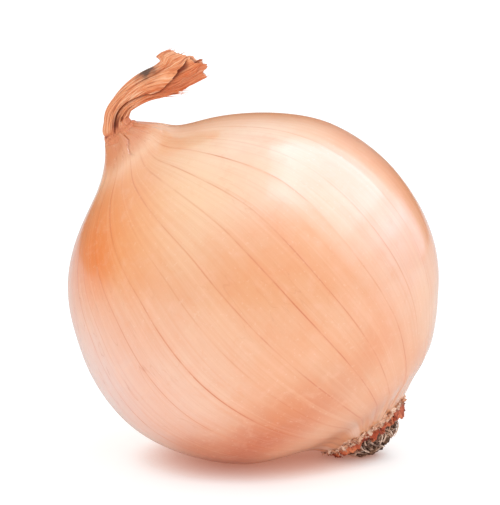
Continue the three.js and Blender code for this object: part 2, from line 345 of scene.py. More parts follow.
def skin_material():
    """Thin dry skin: satin, with hairline veins and faint fibres that run from the roots to the neck."""
    paint = Paint("dry_skin")
    growth = paint.attribute("growth")
    gap, strength, wrinkled = paint.parts("vein")
    spot = paint.spot()
    tint = paint.attribute("tint")
    fibres = paint.noise(paint.scaled(growth, (30.0, 30.0, 2.4)), 1.0, 4.0, 0.6, 0.4)
    fine = paint.noise(paint.scaled(growth, (130.0, 130.0, 7.0)), 1.0, 3.0, 0.6, 0.3)
    cloud = paint.noise(spot, 60.0, 4.0, 0.6)
    mottle = paint.noise(spot, 260.0, 4.0, 0.65, 0.5)
    specks = paint.noise(spot, 1500.0, 2.0, 0.5)

    def ridge(width):
        across = paint.math("DIVIDE", gap, width)
        squared = paint.times(across, across)
        fall = paint.math("POWER", math.e, paint.times(squared, -1.0))
        return paint.times(fall, strength)

    broken = paint.noise(paint.scaled(growth, (26.0, 26.0, 16.0)), 1.0, 3.0)
    line = paint.times(ridge(0.15), paint.ramp(broken, 0.36, 0.56, 0.25, 1.0))
    halo = ridge(0.8)
    # Crease lines in the wrinkled skin: sunk in by the bump, and darkened as painted shade.
    shaded_crease = paint.noise(paint.scaled(growth, (11.0, 11.0, 7.0)), 1.0, 2.0, 0.5, 0.8)
    shaded_crease = paint.math("ABSOLUTE", paint.math("SUBTRACT", shaded_crease, 0.5))
    shaded_crease = paint.times(paint.ramp(shaded_crease, 0.012, 0.0), wrinkled)

    colour = paint.coats(tint, [
        (cloud, 0.35, 0.7, 0.28, (240, 152, 98)),
        (cloud, 0.5, 0.25, 0.25, (250, 196, 152)),
        (mottle, 0.5, 0.72, 0.22, (248, 196, 166)),
        (mottle, 0.48, 0.28, 0.16, (232, 142, 88)),
        (fibres, 0.45, 0.72, 0.22, (228, 146, 96)),
        (fibres, 0.5, 0.25, 0.18, (252, 206, 170)),
        (fine, 0.5, 0.75, 0.14, (218, 138, 92)),
    ])
    colour = paint.mix(paint.times(halo, 0.1), colour, rgb(236, 140, 82))
    colour = paint.mix(paint.times(line, 0.75), colour, rgb(208, 106, 54))
    # Painted shade along the crease lines.
    colour = paint.mix(paint.times(shaded_crease, 0.6), colour, rgb(190, 92, 48))
    colour = paint.coats(colour, [(specks, 0.62, 0.75, 0.16, (255, 226, 198))])

    height = paint.math("ADD", paint.times(fibres, 0.6), paint.times(fine, 0.3))
    height = paint.math("ADD", height, paint.times(mottle, 0.5))
    height = paint.math("SUBTRACT", height, paint.times(shaded_crease, 0.6))
    height = paint.math("ADD", height, paint.times(line, 0.5))
    paint.feed(paint.shader, {
        "Base Color": colour,
        "Roughness": paint.ramp(mottle, 0.3, 0.7, 0.34, 0.46),
        "Normal": paint.bump(height, 0.22, 0.00012),
        "IOR": 1.5,
        "Specular IOR Level": 0.55,
        "Subsurface Weight": 0.12,
        "Subsurface Radius": (1.0, 0.45, 0.25),
        "Subsurface Scale": 0.0025,
        "Coat Weight": 1.0,
        "Coat Roughness": 0.15,
        "Coat IOR": 1.5,
    })
    return paint.material


# ---- the bulb ----
def vein_field(angle, share, z, radius):
    """How far each point is from its nearest vein (mm), and how strong that vein is there."""
    facing = np.array([-29.0, -16.0, -4.0, 10.5, 22.0, 37.5, 49.0]) - 90
    rest = np.linspace(facing[-1] + 12, facing[0] + 360 - 12, VEIN_COUNT - len(facing))
    rest += rng.uniform(-3, 3, len(rest))
    veins = np.radians(np.concatenate([facing, rest]))
    strong = np.concatenate([[1.0, 0.5, 0.8, 1.0, 0.75, 1.0, 0.5], rng.uniform(0.2, 0.7, len(rest))])
    order = np.argsort(veins)
    veins, strong = veins[order], strong[order]
    swing = 0.045 * noise(around(angle, 9, share * 1.6), 5) + 0.012 * noise(around(angle, 22, share * 7), 6)
    drift = 0.10 * (1 - share) ** 2 * np.cos(angle + 0.6) - 0.05
    at = (angle + swing + drift - veins[0]) % (2 * np.pi) + veins[0]
    closed = np.append(veins, veins[0] + 2 * np.pi)
    k = np.clip(np.searchsorted(closed, at, side="right") - 1, 0, len(veins) - 1)
    width = closed[k + 1] - closed[k]
    phase = (at - closed[k]) / width
    gap = np.sin(2 * np.pi * phase) / (2 * np.pi) * width * radius
    nearest = np.where(phase < 0.5, k, (k + 1) % len(veins))
    along = 0.75 + 0.45 * noise(vectors(nearest * 3.7, share * 4.5, nearest * 0.0), 8)
    ends = smoothstep(share, 0.03, 0.12) * (1 - smoothstep(share, 0.82, 0.95))
    near = np.cos(2 * np.pi * phase) > 0
    return gap, np.clip(strong[nearest] * along * ends, 0, 1.2) * near


SKIN_BALANCE = np.array([0.94, 0.99, 1.03])  # red, green and blue of the whole skin


def pigment_and_painted_light(angle, points):
    """The skin's own colour at each point, linear, with painted highlights, a painted reflection and painted
    shade in some of its patches.
    """
    x, y, z = np.moveaxis(points, -1, 0)
    facing = np.degrees(wrap(angle + np.pi / 2))  # 0 on the side towards -Y, positive towards +X
    unit = points / BULB_RADIUS

    def patch(at, height, wide, tall):
        """A soft spot at a facing and a height, with its reach across and along the growth in mm."""
        across = wrap(np.radians(facing - at)) * np.hypot(x, y)
        along = BULB_RADIUS * (np.arcsin(np.clip(z / BULB_RADIUS, -1, 1)) - math.asin(height / BULB_RADIUS))
        return bell(across, wide) * bell(along, tall)

    pale_streaks = smoothstep(noise(around(angle, 44, z / 9), 25), 0.05, 0.6)
    dark_streaks = smoothstep(noise(around(angle, 60, z / 9), 26), 0.1, 0.6)
    layers = [
        ((240, 146, 86), 0.5 * smoothstep(octaves(unit * 1.7 + 5, 3, 21), 0.05, 0.75)),
        ((250, 200, 160), 0.45 * smoothstep(octaves(unit * 1.5 + 11, 3, 31), 0.1, 0.8)),
        ((252, 212, 170), 0.85 * smoothstep(z, 10, 28) * smoothstep(facing, -42, -5)),
        # Painted reflection: paler, pinker skin on the lower left, where the white floor shows in it.
        ((240, 192, 170), 0.8 * patch(-56, 2, 26, 22)),
        ((252, 212, 176), 0.6 * smoothstep(z, 36, 39)),
        # Painted highlight: a pale veil low on the right.
        ((248, 198, 170), 0.55 * patch(44, -14, 14, 16)),
        ((250, 132, 36), 0.95 * patch(-30, 33, 9.5, 10)),
        ((246, 156, 84), 0.7 * patch(-26, 29, 12, 13)),
        # Painted reflection: a pale veil low on the left of the middle.
        ((250, 208, 184), 0.35 * patch(-34, -3, 16, 12)),
        ((240, 154, 92), 0.35 * patch(24, 3.5, 9, 8)),
        ((240, 154, 92), 0.4 * patch(6, 6.5, 6, 8)),
        # Painted shade: darker orange-brown low on the bulb, near the floor.
        ((202, 86, 30), 0.95 * patch(-39, -22, 26, 8)),
        ((218, 124, 68), 0.45 * patch(-18, -34, 14, 6)),
        ((232, 136, 76), 0.5 * patch(-14, -19, 9, 5)),
        ((232, 138, 82), 0.5 * patch(20, -22, 5, 6)),
        ((236, 146, 90), 0.5 * patch(150, -4, 30, 16)),
        ((224, 140, 92), 0.5 * smoothstep(-z, 27, 36)),
        ((222, 166, 122), 0.6 * smoothstep(-z, 33, 37.5)),
        ((250, 214, 192), 0.75 * smoothstep(-z, 29, 36) * pale_streaks),
        ((196, 116, 72), 0.5 * smoothstep(-z, 31, 37) * dark_streaks),
        # Painted shade: a deeper orange stripe along the top and right edge, where the skin reflects little
        # light.
        ((236, 136, 78), 0.75 * patch(88, 4, 9, 40)),
        ((228, 116, 54), 0.85 * patch(-64, 32, 9, 9)),
        ((232, 126, 62), 0.6 * patch(-76, 22, 8, 10)),
        # Painted reflection: the pale pinkish rim low on the left.
        ((236, 212, 208), 0.6 * patch(-64, 6, 14, 16)),
        # Painted highlight: a pale band on the right side.
        ((250, 220, 206), 0.75 * patch(55, -10, 8, 9)),
        # Painted highlight on the crown.
        ((253, 222, 200), 0.6 * patch(51, 25, 10, 8)),
        # Painted highlight: the broad highlight carried down and to the left.
        ((253, 220, 196), 0.35 * patch(30, 17, 9, 7)),
        ((244, 166, 100), 0.4 * patch(-14, 30, 14, 10)),
        ((246, 158, 86), 0.4 * patch(-9, 34, 10, 8)),
        ((238, 140, 80), 0.5 * patch(-48, 28, 8, 8)),
        ((246, 122, 20), 0.8 * patch(-38, 30, 6.5, 7)),
        # Painted highlight: a near-white strip along the crown's right edge.
        ((255, 240, 232), 0.9 * patch(96, 8, 9, 9)),
        # Painted shade: darker orange low on the left, near the floor.
        ((210, 106, 46), 0.75 * patch(-54, -15, 8, 7)),
        ((216, 130, 84), 0.9 * smoothstep(z + 1.5 * noise(unit * 9, 24), 39.7, 42.9)),
    ]
    colour = np.broadcast_to(np.array(rgb(243, 177, 132)[:3]), points.shape).copy()
    for shade, share_of in layers:
        colour = lerp(colour, np.array(rgb(*shade)[:3]), np.clip(share_of, 0, 1)[..., None])
    return colour * SKIN_BALANCE


def build_bulb():
    angle, share, points = bulb_grid(BULB_ROWS, BULB_COLUMNS)
    z = points[..., 2]
    radius = np.hypot(points[..., 0] - axis_swing(z), points[..., 1])
    gap, strength = vein_field(angle, share, z, radius)
    ribs = 0.02 * noise(around(angle, 46, share * 1.5), 12) + 0.01 * noise(around(angle, 110, share * 3), 13)
    dents = 0.16 * noise(points / 17, 14) + 0.03 * noise(points / 6, 15)
    middle = smoothstep(radius, 7, 16)
    veins = 0.03 * bell(gap, 0.5) * strength
    bent = angle + 0.3 * noise(points / 4, 16)
    creases = bell(noise(around(bent, 24, z / 7), 18), 0.16)
    neck_folds = (0.36 * noise(around(bent, 16, z / 9), 17) - 0.4 * creases) * smoothstep(z, 37, 42.5)
    root_folds = 0.3 * noise(around(angle, 34, z / 8), 19) + 0.18 * noise(around(angle, 80, z / 5), 20)
    root_folds *= smoothstep(-z, 31, 37) * (1 - smoothstep(-z, 38.6, 39.5))
    to_floor = smoothstep(np.cos(angle - math.radians(215)), -0.2, 0.8)
    fuller = (base_fill(radius) + 0.3 * bell(radius - 17, 5.0) * to_floor) * (z < 0)
    height = (ribs + dents) * middle + veins + neck_folds + root_folds + fuller
    facing = np.degrees(wrap(angle + np.pi / 2))
    # Where the skin wrinkles; the material darkens its crease lines as painted shade.
    wrinkled = bell(facing + 62, 34) * bell(z - 12, 16) + 0.35 * smoothstep(noise(points / 14, 22), 0.1, 0.6)
    wrinkled = np.clip(wrinkled * 0.6 + 1.2 * smoothstep(z, 38.5, 42), 0, 1)
    grown = points + normals_of(points) * height[..., None]
    make_piece(
        "bulb_skin", set_down(grown, SKIN_CLEARANCE), grid_faces(BULB_ROWS, BULB_COLUMNS),
        skin_material(), "dry_skin", node="bulb", growth=vectors(np.cos(angle), np.sin(angle), share),
        vein=vectors(gap, strength, wrinkled), tint=pigment_and_painted_light(angle, points),
    )


build_bulb()

# ---- the dry neck ----
NECK_FOOT = float(crown_height(CROWN_END)) + GAP
NECK_LINE = [  # x, y and height over the foot, from the foot to the tip
    (CROWN_SHIFT, 0.0, -0.3), (CROWN_SHIFT, 0.0, 0.0), (1.6, 0.0, 0.8), (2.4, -0.1, 1.9),
    (3.9, -0.2, 3.0), (6.1, -0.3, 3.7), (8.8, -0.3, 3.8), (12.0, 0.0, 3.4),
    (15.7, 0.3, 2.2), (19.3, 0.5, 1.4), (23.0, 0.6, 0.7),
]


def smooth_line(knots, count):
    """Evenly spaced points along a smooth curve through the knots."""
    p = np.array(knots, float)
    p = np.vstack([2 * p[0] - p[1], p, 2 * p[-1] - p[-2]])
    t = np.linspace(0, 1, 24, endpoint=False)[:, None]
    pieces = []
    for a, b, c, d in zip(p[:-3], p[1:-2], p[2:-1], p[3:]):
        pieces.append(b + 0.5 * t * (c - a + t * (2 * a - 5 * b + 4 * c - d + t * (3 * (b - c) + d - a))))
    dense = np.vstack([*pieces, p[-2:-1]])
    length = np.append(0, np.cumsum(np.linalg.norm(np.diff(dense, axis=0), axis=1)))
    at = np.linspace(0, length[-1], count)
    return vectors(*(np.interp(at, length, dense[:, i]) for i in range(3))), length[-1]


def neck_frame(count):
    """Centres, directions and sideways directions along the neck, and its length."""
    centre, length = smooth_line([(x, y, z + NECK_FOOT) for x, y, z in NECK_LINE], count)
    tangent = unit_length(np.gradient(centre, axis=0))
    share = np.linspace(0, 1, count)[:, None]
    tangent = unit_length(lerp(np.array([0.0, 0.0, 1.0]), tangent, smoothstep(share, 0, 0.24)))
    return centre, tangent, unit_length(np.cross(tangent, SIDEWAYS)), length


def dry_leaf_material():
    """Withered leaf bases: dull and stringy, with painted shade in the folds."""
    paint = Paint("dry_leaf")
    fibre = paint.attribute("fibre")
    fold_shade, soot, warm = paint.parts("wear")
    coarse = paint.noise(paint.scaled(fibre, (7.0, 7.0, 2.2)), 1.0, 3.0, 0.6)
    strings = paint.noise(paint.scaled(fibre, (13.0, 13.0, 2.2)), 1.0, 3.0, 0.6, 0.2)
    fine = paint.noise(paint.scaled(fibre, (50.0, 50.0, 5.0)), 1.0, 3.0, 0.6)
    colour = paint.mix(paint.ramp(coarse, 0.35, 0.65), rgb(220, 124, 74), rgb(242, 162, 112))
    colour = paint.coats(colour, [
        (strings, 0.5, 0.64, 0.85, (252, 198, 158)),
        (strings, 0.46, 0.34, 0.7, (158, 70, 38)),
        (fine, 0.52, 0.68, 0.4, (172, 88, 54)),
        (fine, 0.46, 0.34, 0.5, (250, 196, 156)),
    ])
    # The lower side towards the tip: a warmer orange sheath, darkened in part as painted shade.
    colour = paint.mix(paint.times(warm, 0.4), colour, rgb(196, 86, 44))
    # Painted shade in the folds and grooves.
    colour = paint.coats(colour, [(fold_shade, 0.15, 0.85, 0.92, (118, 42, 22))])
    foot = paint.times(paint.attribute("foot", "Fac"), paint.ramp(coarse, 0.25, 0.6, 0.8, 1.0))
    colour = paint.coats(colour, [(foot, 0.2, 0.95, 0.92, (222, 140, 98))])
    # Crack lines at the foot, darkened as painted shade.
    shaded_crack = paint.noise(paint.scaled(fibre, (5.0, 5.0, 9.0)), 1.0, 3.0, 0.55, 0.6)
    shaded_crack = paint.ramp(paint.math("ABSOLUTE", paint.math("SUBTRACT", shaded_crack, 0.5)), 0.022, 0.0)
    shaded_crack = paint.times(paint.times(shaded_crack, foot), 0.7)
    colour = paint.mix(shaded_crack, colour, rgb(158, 66, 36))
    # More painted shade in the folds at the foot.
    colour = paint.mix(paint.times(paint.ramp(fold_shade, 0.3, 0.9), foot), colour, rgb(150, 60, 34))
    colour = paint.mix(paint.times(soot, 0.92), colour, rgb(84, 68, 58))
    height = paint.math("ADD", paint.times(strings, 0.8), paint.times(fine, 0.5))
    paint.feed(paint.shader, {
        "Base Color": colour,
        "Roughness": paint.ramp(strings, 0.3, 0.7, 0.62, 0.48),
        "Normal": paint.bump(height, 0.8, 0.0002),
        "Specular IOR Level": 0.35,
        "Subsurface Weight": 0.06,
        "Subsurface Radius": (1.0, 0.4, 0.2),
        "Subsurface Scale": 0.001,
    })
    return paint.material


# Folds where one sheath laps over the next: share along the neck, share of the way from the upper edge
# to the lower one, height of the lip, and depth of the groove (negative on the far side).
# Each groove also gets painted shade.
SEAMS = [
    ((0.0, 0.2, 0.34, 0.46, 0.56, 0.65, 0.75, 0.86, 1.0),
     (0.42, 0.43, 0.5, 0.6, 0.68, 0.68, 0.54, 0.42, 0.38), 0.5, 0.75),
    ((0.03, 0.14, 0.3, 0.42), (0.72, 0.7, 0.74, 0.82), 0.2, 0.45),
    ((0.35, 0.5, 0.7, 0.95), (0.2, 0.26, 0.24, 0.2), 0.12, 0.14),
    ((0.5, 0.7, 1.0), (0.8, 0.8, 0.7), 0.16, 0.2),
    ((0.05, 0.3, 0.6, 1.0), (0.35, 0.45, 0.4, 0.6), 0.4, -0.5),
    ((0.2, 0.5, 0.9), (0.75, 0.7, 0.85), 0.25, -0.35),
]
# Half widths of the neck at shares of its length: upper edge, lower edge, and front to back.
UPPER_HALF = (
    (0, 0.05, 0.13, 0.28, 0.46, 0.62, 0.83, 0.89, 0.95, 1),
    (NECK_FOOT_RADIUS, 3.3, 2.6, 2.3, 2.7, 3.2, 3.5, 4.8, 5.0, 4.7),
)
LOWER_HALF = (
    (0, 0.05, 0.13, 0.28, 0.46, 0.62, 0.8, 1),
    (NECK_FOOT_RADIUS, 3.6, 2.8, 2.4, 3.0, 3.6, 4.2, 4.2),
)
DEEP_HALF = ((0, 0.05, 0.13, 0.3, 0.6, 1), (NECK_FOOT_RADIUS, 3.6, 2.6, 2.3, 2.0, 1.9))
# How far the torn end reaches, from the neck's lower edge (-1) to its upper one (1).
TORN_REACH = (
    (-1, -0.85, -0.7, -0.56, -0.3, 0, 0.5, 0.8, 1),
    (1.6, 1.3, 1.6, 2.9, 2.3, 1.2, -0.9, -2.0, -2.8),
)


def neck_relief(angle, share, length):
    """The neck's ribs and folds: how far they stand out (mm), how much painted shade their hollows get, and
    how they lean.
    """
    s = share * length
    turned = angle + 0.02 * s + 0.05 * noise(around(angle, 6, s / 6), 39)
    relief = 0.3 * noise(around(turned, 9, s / 15), 40) + 0.34 * noise(around(turned, 19, s / 11), 41)
    relief += 0.18 * noise(around(turned, 42, s / 8), 42) + 0.06 * noise(around(turned, 90, s / 5), 43)
    relief += 0.025 * noise(around(turned, 190, s / 3), 44)
    relief *= 0.5 + 0.5 * smoothstep(share, -0.02, 0.08)
    # Painted shade where the relief dips.
    fold_shade = np.clip(-relief / 0.5, 0, 1) ** 1.3
    # A short crease across the foot, on the outer side of the bend, with painted shade in it.
    level = share - 0.045 - 0.03 * wrap(angle + 0.7) + 0.012 * ring_noise(angle, 20, 56)
    shaded_crease = bell(level, 0.012) * bell(wrap(angle + 0.55), 0.6)
    relief = relief - 0.4 * shaded_crease + 0.3 * bell(level - 0.03, 0.02) * bell(wrap(angle + 0.55), 0.6)
    fold_shade = np.maximum(fold_shade, shaded_crease)
    lean_over = 0 * angle
    for at, level, lip, depth in SEAMS:
        far_side = -np.sign(depth)
        side = far_side * np.arccos(1 - 2 * np.interp(share, at, level))
        delta = -wrap(angle - side) * far_side
        strength = smoothstep(share, at[0], at[0] + 0.08) * (1 - smoothstep(share, at[-1] - 0.1, at[-1]))
        above = (delta > 0) * np.exp(-np.abs(delta) / 0.5) * strength
        below = (delta <= 0) * bell(delta, 0.26) * strength
        relief = relief + lip * above - abs(depth) * below
        # Painted shade in the groove under each lip.
        fold_shade = np.maximum(fold_shade, below**0.7 * min(1.0, abs(depth) / 0.6))
        lean_over = lean_over + far_side * 0.16 * (delta > 0) * bell(delta, 0.25) * strength * lip / 0.5
    return relief, fold_shade, lean_over


def neck_surface(angle, share, length):
    """Offsets across, in depth and along the neck (mm), and how much painted shade each point gets in a fold.
    """
    half_up, half_low, half_deep = (np.interp(share, *half) for half in (UPPER_HALF, LOWER_HALF, DEEP_HALF))
    relief, fold_shade, lean_over = neck_relief(angle, share, length)
    shifted = angle + lean_over
    half = np.where(np.cos(angle) > 0, half_up, half_low)
    over = (half + relief) * np.cos(shifted)
    deep = (half_deep + relief) * np.sin(shifted)
    buckle = noise(vectors(over * 0.55, share * 2, share * 0), 45)
    deep = deep + 0.5 * smoothstep(share, 0.55, 1) * buckle
    frayed = np.abs(noise(around(angle, 14, share * 9), 52))
    over = over - 0.5 * smoothstep(share, 0.5, 0.9) * (over < 0) * frayed
    torn = np.interp(np.cos(angle), *TORN_REACH)
    torn += 0.5 * ring_noise(angle, 12, 46)
    torn += 0.45 * ring_noise(angle, 34, 47) + 0.3 * ring_noise(angle, 90, 48)
    hook = -1.2 * bell(share - 0.91, 0.05) * smoothstep(np.cos(angle), 0.78, 1.0)
    along = torn * smoothstep(share, 0.66, 1) + hook
    return over, deep, along, fold_shade


def neck_skirt(rows, angle, length):
    """The foot of the neck, spread out over the crown: points from its ragged edge up to the first ring."""
    q = np.linspace(0, 1, rows, endpoint=False)[:, None]
    round_axis = np.pi - angle
    edge = 4.9 + 0.5 * ring_noise(angle, 9, 53) + 0.3 * ring_noise(angle, 24, 54)
    radius = lerp(edge, NECK_FOOT_RADIUS, q)
    travelled = (1 - q) * (edge - NECK_FOOT_RADIUS) * 1.25
    relief, fold_shade, _ = neck_relief(angle, -travelled / length, length)
    height = crown_height(radius)
    lift = -0.3 + 0.6 * smoothstep(q, 0, 0.8) + relief * smoothstep(q, 0, 0.7)
    slope = np.gradient(height, axis=0) / np.gradient(radius, axis=0)
    steep = np.sqrt(1 + slope**2)
    out = radius - lift * slope / steep * (1 - 0.5 * q)
    x = out * np.cos(round_axis) + axis_swing(height)
    points = vectors(x, out * np.sin(round_axis), height + lift / steep)
    return points, -travelled / length, fold_shade * smoothstep(q, 0, 0.4)


def build_neck(leaf):
    centre, tangent, across, length = neck_frame(NECK_ROWS)
    share, angle = turn_grid(NECK_ROWS, NECK_COLUMNS)
    over, deep, along, fold_shade = neck_surface(angle, share, length)
    outer = centre[:, None] + across[:, None] * over[..., None] + SIDEWAYS * deep[..., None]
    outer = outer + tangent[:, None] * along[..., None]
    skirt, skirt_share, skirt_fold_shade = neck_skirt(SKIRT_ROWS, angle[0], length)
    # The skirt's last rows ease into the first ring of the neck.
    ease = smoothstep(np.linspace(0, 1, SKIRT_ROWS, endpoint=False), 0.45, 1)[:, None, None]
    skirt = lerp(skirt, outer[0] - tangent[0] * 0.02, ease * 0.75)
    soot = 1.4 * bell(share - 0.62, 0.1) * bell(wrap(angle + 0.6), 0.5)
    soot = soot * (0.75 + 0.6 * noise(outer / 0.8, 50))
    # The lower side towards the tip: a warmer orange, and darker in part as painted shade.
    warm = smoothstep(share, 0.35, 0.75) * smoothstep(-np.cos(angle), -0.1, 0.5)
    # The torn end is hollow: the wall turns in and runs back down inside.
    hollow = []
    for k in range(1, HOLLOW_ROWS + 1):
        back = k / HOLLOW_ROWS
        row = outer[-1] - tangent[-1] * 3.4 * back**1.5
        middle = row.mean(0)
        hollow.append(middle + (row - middle) * (0.88 - 0.42 * back) + 0.1 * noise(row / 0.5, 51)[:, None])
    points = np.concatenate([skirt, outer, np.array(hollow)])
    # Painted shade inside the hollow end, darker further in.
    inside = np.repeat(np.linspace(0.35, 1, HOLLOW_ROWS)[:, None], NECK_COLUMNS, axis=1)
    wear = vectors(
        np.concatenate([skirt_fold_shade, fold_shade, inside]),
        np.concatenate([0 * skirt_fold_shade, np.clip(soot, 0, 1), 0 * inside]),
        np.concatenate([0 * skirt_fold_shade, warm, 0.5 + 0 * inside]),
    )
    ragged_share = share + 0.03 * noise(around(angle, 12, share * 20), 55)
    foot = np.concatenate([1 + 0 * skirt_fold_shade, 1.0 - smoothstep(ragged_share, 0.01, 0.1), 0 * inside])
    all_share = np.concatenate([skirt_share, share])
    turned = np.concatenate([np.repeat(angle[:1], SKIRT_ROWS, axis=0), angle]) + 0.02 * all_share * length
    fibre = vectors(np.cos(turned), np.sin(turned), all_share * 2)
    fibre = np.concatenate([fibre, np.repeat(fibre[-1:], HOLLOW_ROWS, axis=0)])
    faces = grid_faces(SKIRT_ROWS + NECK_ROWS + HOLLOW_ROWS, NECK_COLUMNS)
    make_piece(
        "neck_sheaths", place(points), faces, leaf, "dry_leaf", node="dry_neck",
        fibre=fibre, wear=wear, foot=foot.ravel(),
    )
    build_loose_fibres(leaf, centre, tangent, across, length)


def build_loose_fibres(leaf, centre, tangent, across, length):
    """Thin fibres that stand off the neck's lower edge and its torn tip."""
    paths, radii = [], []
    for number in range(FIBRE_COUNT):
        low_edge = number % 3 == 0
        at = rng.uniform(0.58, 0.76) if low_edge else rng.uniform(0.93, 0.985)
        turn = math.pi + rng.normal(0, 0.25) if low_edge else rng.uniform(-math.pi, math.pi)
        over, deep, along, _ = neck_surface(np.array([[turn]]), np.array([[at]]), length)
        k = int(at * (len(centre) - 1))
        start = centre[k] + across[k] * over[0, 0] * 0.94 + SIDEWAYS * deep[0, 0] * 0.94
        start = start + tangent[k] * along[0, 0]
        outward = across[k] * math.cos(turn) + SIDEWAYS * math.sin(turn) * 0.5
        way = tangent[k] + outward * (rng.uniform(0.15, 0.4) if low_edge else rng.uniform(-0.1, 0.25))
        reach = rng.uniform(1.8, 3.6) if low_edge else rng.uniform(0.5, 1.5)
        t = np.linspace(0, 1, FIBRE_STEPS)[:, None]
        curve = rng.normal(0, 0.25, 3)
        paths.append(start + way * reach * t + curve * reach * t**2)
        radii.append(rng.uniform(0.05, 0.11) * np.linspace(1.3, 0.4, FIBRE_STEPS))
    paths = place(np.array(paths)) * 1000
    strand_piece("neck_fibres", paths, np.array(radii), leaf, "dry_leaf", along_fibre=True)


# ---- strands and flakes ----
def strand_piece(name, paths, radii, material, slot, along_fibre=False):
    """Many thin tubes as one piece: paths (strands by points by 3) and radii, in placed millimetres."""
    count, steps = paths.shape[:2]
    tangent = unit_length(np.gradient(paths, axis=1))
    guide = rng.normal(size=(count, 1, 3)) + np.zeros_like(paths)
    aside = unit_length(np.cross(tangent, guide))
    other = np.cross(tangent, aside)
    turn = np.linspace(0, 2 * np.pi, STRAND_SIDES, endpoint=False)
    ring = aside[:, :, None] * np.cos(turn)[:, None] + other[:, :, None] * np.sin(turn)[:, None]
    points = (paths[:, :, None] + ring * radii[:, :, None, None]) / 1000
    points[..., 2] = np.maximum(points[..., 2], STRAND_CLEARANCE)
    one = steps * STRAND_SIDES
    faces = []
    for k in range(count):
        faces += grid_faces(steps, STRAND_SIDES, k * one)
    shade = np.repeat(rng.uniform(0, 1, count), one)
    along = np.tile(np.repeat(np.linspace(0, 1, steps), STRAND_SIDES), count)
    number = np.repeat(np.arange(count) * 1.37, one)
    if along_fibre:
        wear = vectors(0 * shade, 0 * shade, shade)
        marks = {"foot": 0 * shade, "fibre": vectors(number, shade, along), "wear": wear}
    else:
        marks = {"strand": vectors(shade, along, number)}
    make_piece(name, points, faces, material, slot, **marks)


def flake_piece(name, middle, outward, downward, size, material, thickness=0.14):
    """Small curled torn flakes as one piece: where each is, how it faces and points, and its size in mm."""
    count, rows, columns = len(middle), FLAKE_ROWS, FLAKE_COLUMNS
    facing = unit_length(outward)
    pointing = unit_length(downward - facing * np.sum(downward * facing, axis=1, keepdims=True))
    side = np.cross(facing, pointing)
    v, u = np.meshgrid(np.linspace(-0.5, 0.5, rows), np.linspace(-0.5, 0.5, columns), indexing="ij")
    taper = 1 - 0.45 * (v + 0.5)
    u = u * taper + rng.uniform(-0.13, 0.13, (count, rows, columns))
    v = v + rng.uniform(-0.11, 0.11, (count, rows, columns))
    curl = rng.uniform(-0.5, 1.1, (count, 1, 1)) * v**2 + rng.uniform(-0.9, 0.9, (count, 1, 1)) * u**2
    curl = curl + rng.uniform(-0.1, 0.1, (count, rows, columns))
    length, width = size[:, 0, None, None], size[:, 1, None, None]
    base = (
        middle[:, None, None] + pointing[:, None, None] * (v * length)[..., None]
        + side[:, None, None] * (u * width)[..., None] + facing[:, None, None] * (curl * length)[..., None]
    )
    half = facing[:, None, None] * thickness / 2
    layer = np.stack([base - half, base + half], axis=1)
    points = set_down(at_root_end(layer), FLAKE_CLEARANCE)
    ring = [*range(columns), *(r * columns + columns - 1 for r in range(1, rows))]
    ring += range(rows * columns - 2, (rows - 1) * columns - 1, -1)
    ring += (r * columns for r in range(rows - 2, 0, -1))
    one = rows * columns
    corners = [r * columns + c for r in range(rows - 1) for c in range(columns - 1)]
    quads = [(k, k + 1, k + 1 + columns, k + columns) for k in corners]
    template = [tuple(reversed(q)) for q in quads] + [tuple(i + one for i in q) for q in quads]
    template += [(a, b, b + one, a + one) for a, b in zip(ring, ring[1:] + ring[:1])]
    template = np.array(template)
    faces = (template[None] + (np.arange(count) * 2 * one)[:, None, None]).reshape(-1, 4).tolist()
    shade = np.repeat(rng.uniform(0, 1, count), 2 * one)
    along = np.tile(np.repeat(np.linspace(0, 1, rows), columns), 2 * count)
    number = np.repeat(np.arange(count) * 1.91, 2 * one)
    strand = vectors(shade, along, number)
    make_piece(name, points, faces, material, "torn_scale", strand=strand)


def crumbly_material(name, dark, middle, light, roughness=0.85, scale=900.0):
    """Dry torn stuff: three shades, by strand or flake and by a fine grain."""
    paint = Paint(name)
    shade = paint.parts("strand")[0]
    spot = paint.spot()
    grain = paint.noise(spot, scale, 4.0, 0.65)
    fine = paint.noise(spot, scale * 4, 3.0, 0.6)
    colour = paint.mix(paint.ramp(shade, 0.25, 0.95), middle, light)
    colour = paint.mix(paint.ramp(grain, 0.55, 0.35, 0.0, 0.85), colour, dark)
    colour = paint.mix(paint.ramp(fine, 0.55, 0.75, 0.0, 0.5), colour, dark)
    height = paint.math("ADD", grain, paint.times(fine, 0.5))
    paint.feed(paint.shader, {
        "Base Color": colour,
        "Roughness": paint.ramp(grain, 0.3, 0.7, roughness - 0.08, roughness + 0.08),
        "Normal": paint.bump(height, 0.6, 0.0002),
        "Specular IOR Level": 0.3,
    })
    return paint.material


# ---- the root end ----
def build_plate(cork):
    share, angle = turn_grid(PLATE_ROWS, PLATE_COLUMNS)
    bow = share * np.pi / 2
    radius = PLATE_RADIUS * np.sin(np.clip(bow, 0.03, None)) ** 0.8
    z = -PLATE_DEPTH * np.cos(bow) ** 0.6 + 0.25
    points = vectors(radius * np.cos(angle), radius * np.sin(angle), z + 0 * angle)
    points += 0.25 * octaves(points / 1.3, 3, 60)[..., None] * np.array([0.4, 0.4, 1.0])
    points[-1, :, 2] = 0.2
    placed = place(at_root_end(points))[:, ::-1]
    grain = vectors(0.5 + 0.4 * noise(points / 2, 61), share, angle)[:, ::-1]
    faces = grid_faces(PLATE_ROWS, PLATE_COLUMNS)
    make_piece("cork_plate", placed, faces, cork, "cork", node="root_plate", strand=grain)


